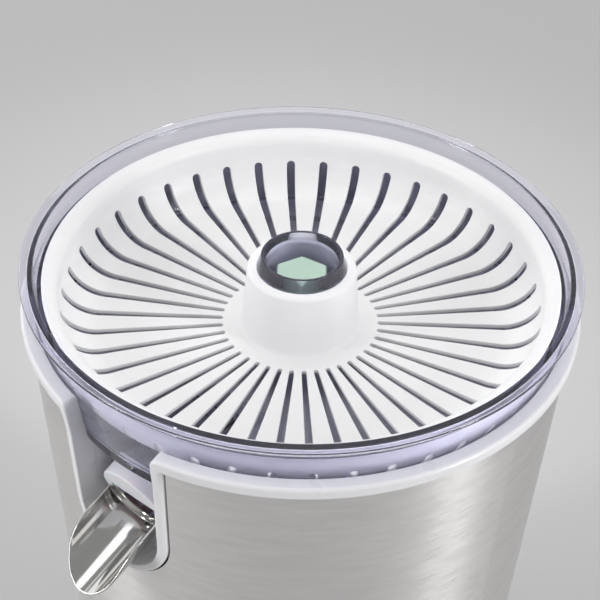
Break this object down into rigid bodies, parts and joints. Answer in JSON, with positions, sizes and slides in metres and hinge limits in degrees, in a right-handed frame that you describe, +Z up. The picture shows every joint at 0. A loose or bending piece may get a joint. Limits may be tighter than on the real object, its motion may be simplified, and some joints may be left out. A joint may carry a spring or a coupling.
{
  "type": "citrus press juicer",
  "caption": "Counter-top citrus press base with a tapered steel body, a lift-off clear juice bowl with an open pouring spout, a slotted strainer dish and a hexagonal drive end.",
  "frame": {"origin": "on the table under the drive's axis", "axes": "+Z up along the drive's axis, -Y towards the spout"},
  "size_m": [0.2206, 0.2351, 0.2928],
  "materials": {
    "brushed_steel": "brushed round the housing",
    "white_gloss": "moulded, soft gloss",
    "white_satin": "moulded, satin",
    "frosted_white": "frosted, lets some light through",
    "tinted_clear": "clear tinted plastic, polished",
    "mint_plastic": "moulded",
    "polished_steel": "mirror polished",
    "black_rubber": "matte",
    "grey_rubber": "matte",
    "zinc_steel": "zinc-plated steel, bright",
    "grey_nylon": "moulded, fibre filled",
    "natural_nylon": "moulded",
    "bronze": "sintered",
    "lamination": "stacked sheet, varnished",
    "copper": "enamelled wire and copper",
    "cast_aluminium": "die cast",
    "carbon": "pressed carbon",
    "black_plastic": "moulded",
    "board_green": "glass fibre board",
    "capacitor_yellow": "moulded"
  },
  "bodies": {
    "base_unit": {"outer_shell": "brushed_steel", "collar": "white_gloss", "upper_deck": "white_gloss", "deck_bush": "bronze", "shaft_seal": "black_rubber", "base_plate": "white_gloss", "rubber_feet": "grey_rubber", "tie_rods": "zinc_steel", "gearbox_housing": "grey_nylon", "gearbox_cover": "grey_nylon", "gearbox_screws": "zinc_steel", "rubber_mounts": "black_rubber", "mount_screws": "zinc_steel", "cover_bush": "bronze", "layshaft_axle": "zinc_steel", "stator": "lamination", "field_coils": "copper", "upper_motor_bracket": "cast_aluminium", "lower_motor_bracket": "cast_aluminium", "motor_bolts": "zinc_steel", "upper_motor_bush": "bronze", "lower_motor_bush": "bronze", "brush_holders": "black_plastic", "carbon_brushes": "carbon", "circuit_board": "board_green", "suppressor_capacitor": "capacitor_yellow", "rocker_bezel": "white_gloss", "switch_body": "black_plastic", "cable_inlet": "black_rubber"},
    "rotor": {"rotor_shaft": "zinc_steel", "armature_core": "lamination", "armature_windings": "copper", "commutator": "copper", "cooling_fan": "grey_nylon"},
    "layshaft": {"layshaft_gear": "natural_nylon", "layshaft_pinion": "zinc_steel"},
    "drive": {"output_gear": "natural_nylon", "output_shaft": "zinc_steel", "retaining_clip": "zinc_steel", "hex_coupling": "mint_plastic"},
    "bowl": {"juice_bowl": "tinted_clear", "spout_ring": "frosted_white", "spout": "polished_steel"},
    "strainer": {"strainer": "white_satin"},
    "rocker": {"power_rocker": "mint_plastic"}
  },
  "joints": [
    {"name": "rotor_spin", "type": "hinge", "parent": "base_unit", "child": "rotor", "pos_m": [0, 0, 0.124], "axis": [0, 0, 1], "continuous": true},
    {"name": "layshaft_spin", "type": "hinge", "parent": "base_unit", "child": "layshaft", "pos_m": [0, 0.03605, 0.2], "axis": [0, 0, 1], "continuous": true},
    {"name": "drive_spin", "type": "hinge", "parent": "base_unit", "child": "drive", "pos_m": [0, 0, 0.24], "axis": [0, 0, 1], "continuous": true},
    {"name": "bowl_lift", "type": "slide", "parent": "base_unit", "child": "bowl", "axis": [0, 0, 1], "range_m": [0, 0.12]},
    {"name": "strainer_lift", "type": "slide", "parent": "bowl", "child": "strainer", "axis": [0, 0, 1], "range_m": [0, 0.06]},
    {"name": "rocker_press", "type": "hinge", "parent": "base_unit", "child": "rocker", "pos_m": [0, -0.08658, 0.04524], "axis": [-1, 0, 0], "range_deg": [0, 16]}
  ],
  "couplings": [
    {"joint": "layshaft_spin", "follows": "rotor_spin", "ratio": -0.25},
    {"joint": "drive_spin", "follows": "rotor_spin", "ratio": 0.0625}
  ]
}
